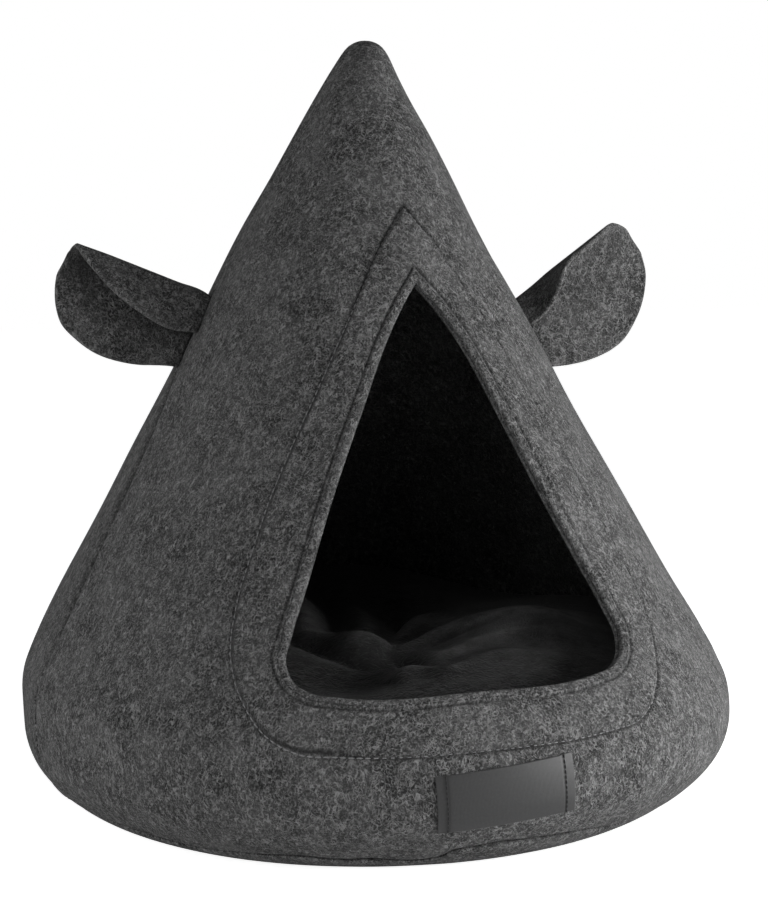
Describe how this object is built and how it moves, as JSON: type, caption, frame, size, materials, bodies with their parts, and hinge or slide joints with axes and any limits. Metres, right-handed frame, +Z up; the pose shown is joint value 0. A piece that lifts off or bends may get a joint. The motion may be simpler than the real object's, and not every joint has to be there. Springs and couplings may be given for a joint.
{
  "type": "felt cat cave",
  "caption": "Tall felt cone cave for a cat, with a rounded triangular doorway, two folded ears, a blank sewn label and a round filled cushion on its base.",
  "frame": {"origin": "on the floor under the middle of the round base", "axes": "+Z up, the doorway faces -Y, the right ear is towards +X"},
  "size_m": [0.4286, 0.4302, 0.439],
  "materials": {
    "felt": "matt mottled grey needle felt",
    "cushion": "soft dark grey plush",
    "label": "satin dark grey ribbon"
  },
  "bodies": {
    "root": {"front_panel": "felt", "back_panel": "felt", "base_panel": "felt", "door_facing": "felt", "ear_left": "felt", "ear_right": "felt", "cushion": "cushion", "label": "label"}
  },
  "joints": []
}
